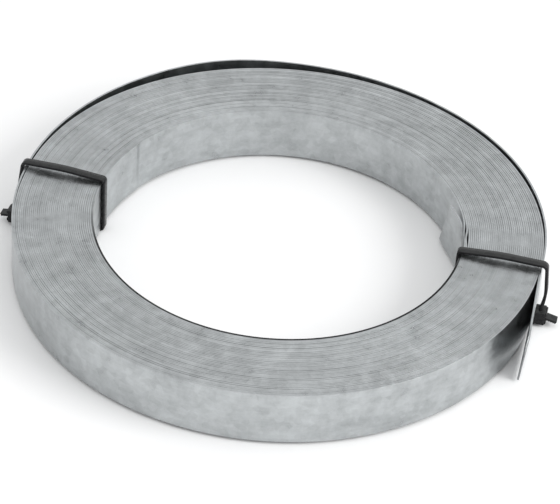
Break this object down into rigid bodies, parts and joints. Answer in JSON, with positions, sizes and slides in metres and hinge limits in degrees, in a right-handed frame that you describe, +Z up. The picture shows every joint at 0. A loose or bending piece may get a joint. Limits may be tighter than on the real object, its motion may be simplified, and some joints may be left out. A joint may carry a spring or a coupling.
{
  "type": "steel mounting strap roll",
  "caption": "Flat roll of plain galvanised steel mounting strap, its free end sprung at the side, held by nylon cable ties.",
  "frame": {"origin": "on the roll's axis, at the level it rests on", "axes": "+Z up along the roll's axis; the front of the roll, between the ties, faces -Y; the right tie and the free end are towards +X"},
  "size_m": [0.2963, 0.283, 0.0353],
  "materials": {
    "galvanised_steel": "bright galvanised, lightly mottled",
    "black_nylon": "satin"
  },
  "bodies": {
    "root": {"strap_coil": "galvanised_steel", "cable_tie_left": "black_nylon", "cable_tie_right": "black_nylon"}
  },
  "joints": []
}
